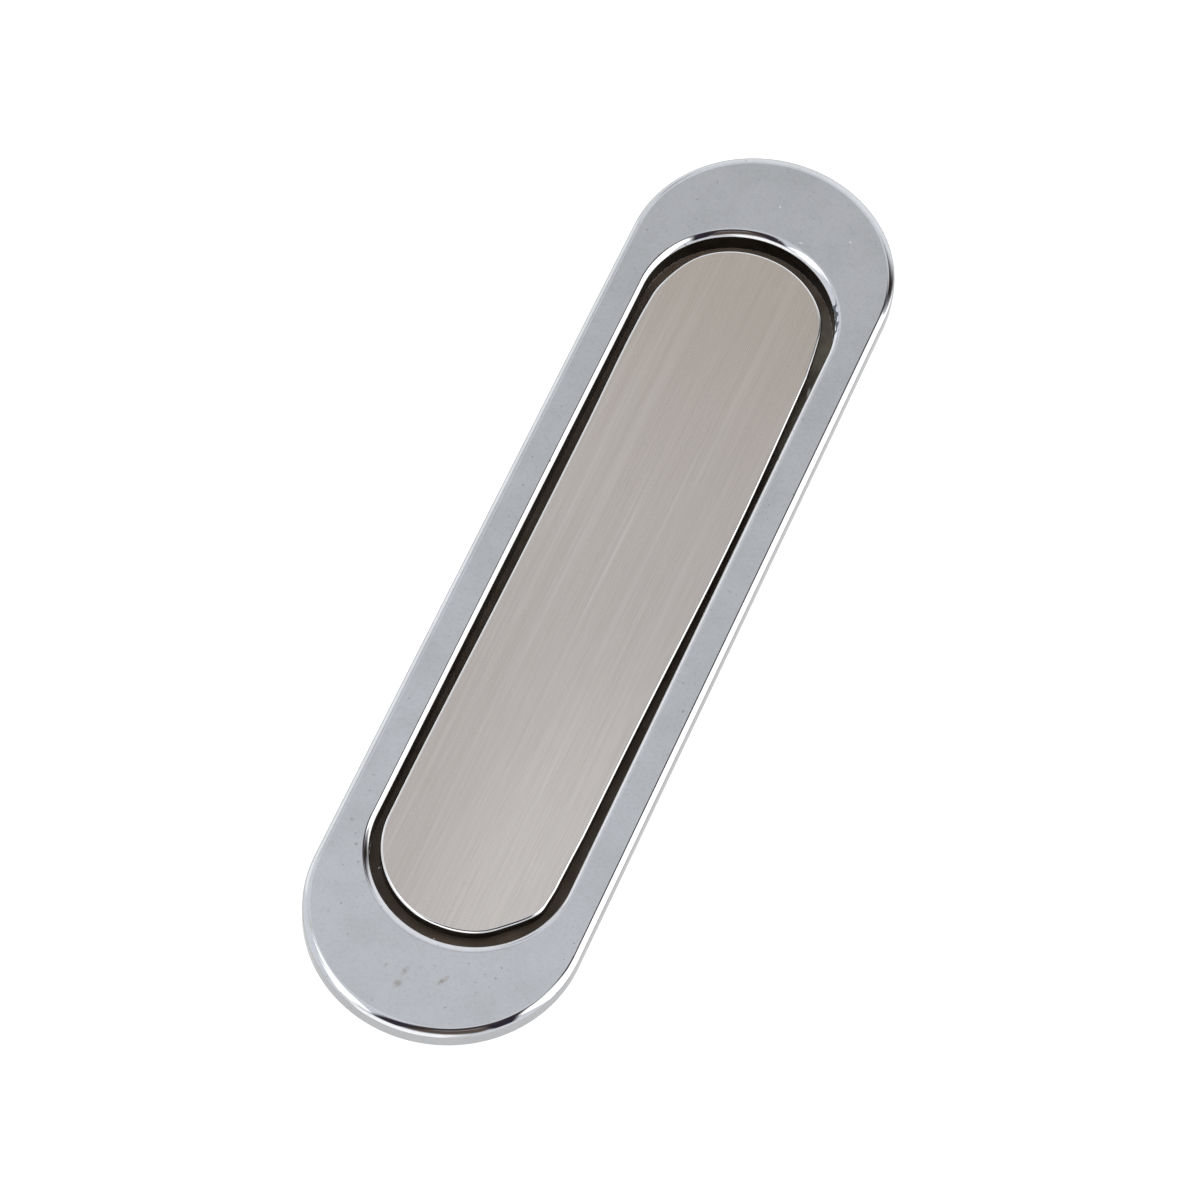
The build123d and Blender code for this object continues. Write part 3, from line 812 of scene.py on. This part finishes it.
def finish_nodes():
    """Gives each CAD node that stays in view its finish."""
    finishes = {
        "plate_carrier": carrier_plastic, "recess_cup": cup_plastic, "guide_post": post_steel,
        "bolt_post": post_steel, "guide_bush": bush_plastic, "buffer_ring": buffer_rubber,
        "cup_screw": screw_steel, "plate_screw": screw_steel,
    }
    for name, node in nodes.items():
        for start, material in finishes.items():
            if name.startswith(start):
                node.data.materials.clear()
                node.data.materials.append(material)


make_ring()
make_plate()
for spring_end in ("upper", "lower"):
    make_spring(spring_end)
finish_nodes()


# Studio


def make_floor():
    """Pale floor that looks white to the camera and in reflections, and keeps a soft shadow."""
    bpy.ops.mesh.primitive_plane_add(size=2 * FLOOR_HALF, location=(0, 0, FLOOR_Z - FLOOR_GAP))
    floor = bpy.context.object
    floor.name = "studio_floor"
    material = bpy.data.materials.new("studio_floor")
    material.use_nodes = True
    tree = material.node_tree
    tree.nodes.remove(tree.nodes["Principled BSDF"])
    path = add(tree, "ShaderNodeLightPath")
    glossy, through = path.outputs["Is Glossy Ray"], path.outputs["Is Transmission Ray"]
    mirrored = math_node(tree, "MULTIPLY", math_node(tree, "MAXIMUM", glossy, through), FLOOR_MIRRORED_GLOW)
    seen = math_node(tree, "MULTIPLY", path.outputs["Is Camera Ray"], FLOOR_GLOW)
    matte = add(tree, "ShaderNodeBsdfDiffuse", {"Color": FLOOR_GREY}).outputs["BSDF"]
    glow = add(tree, "ShaderNodeEmission", {"Strength": math_node(tree, "ADD", seen, mirrored)})
    both = add(tree, "ShaderNodeAddShader", {0: matte, 1: glow.outputs["Emission"]})
    tree.links.new(both.outputs["Shader"], tree.nodes["Material Output"].inputs["Surface"])
    floor.data.materials.append(material)


def card(tree, plan, colour, shape, tint):
    """Paints a card over a sky colour."""
    turned = add(tree, "ShaderNodeMapping", {
        "Vector": plan, "Location": (shape.x, shape.y, 0), "Rotation": (0, 0, math.radians(shape.degrees)),
    }, vector_type="TEXTURE").outputs["Vector"]
    axes = add(tree, "ShaderNodeSeparateXYZ", {"Vector": turned}).outputs
    whole = None
    for axis, half in (("X", shape.half_width), ("Y", shape.half_height)):
        away = math_node(tree, "ABSOLUTE", axes[axis])
        inside = ranged(tree, away, half - shape.blur, half + shape.blur, 1.0, 0.0)
        whole = inside if whole is None else math_node(tree, "MULTIPLY", whole, inside)
    return mixed(tree, whole, colour, tint)


def make_sky():
    """Soft studio surround: a grey card over the flat face, windows of light beside it, and dark cards."""
    world = bpy.data.worlds.new("studio")
    bpy.context.scene.world = world
    world.use_nodes = True
    tree = world.node_tree
    direction = add(tree, "ShaderNodeTexCoord").outputs["Generated"]
    axes = add(tree, "ShaderNodeSeparateXYZ", {"Vector": direction}).outputs
    colour = mixed(tree, ranged(tree, axes["Z"], *SKY_SPAN), SKY_LOW, SKY_HIGH)
    for _, shape, tint in CARDS:
        colour = card(tree, direction, colour, shape, tint)
    grey = mixed(tree, ranged(tree, axes["Y"], *GREY_SPAN), GREY_NEAR, GREY_FAR)
    colour = card(tree, direction, colour, GREY_CARD, grey)
    tree.links.new(colour, tree.nodes["Background"].inputs["Color"])


def make_camera():
    """Camera at the photograph's angle."""
    data = bpy.data.cameras.new("camera")
    data.sensor_width = SENSOR
    data.lens = LENS
    camera = bpy.data.objects.new("camera", data)
    bpy.context.scene.collection.objects.link(camera)
    place = Vector(CAMERA_PLACE) * MM
    rows = [(*(axis[row] for axis in CAMERA_AXES), place[row]) for row in range(3)]
    camera.matrix_world = Matrix(rows + [(0, 0, 0, 1)])
    bpy.context.scene.camera = camera


make_floor()
make_sky()
make_camera()
bpy.context.scene.view_settings.view_transform = "Standard"
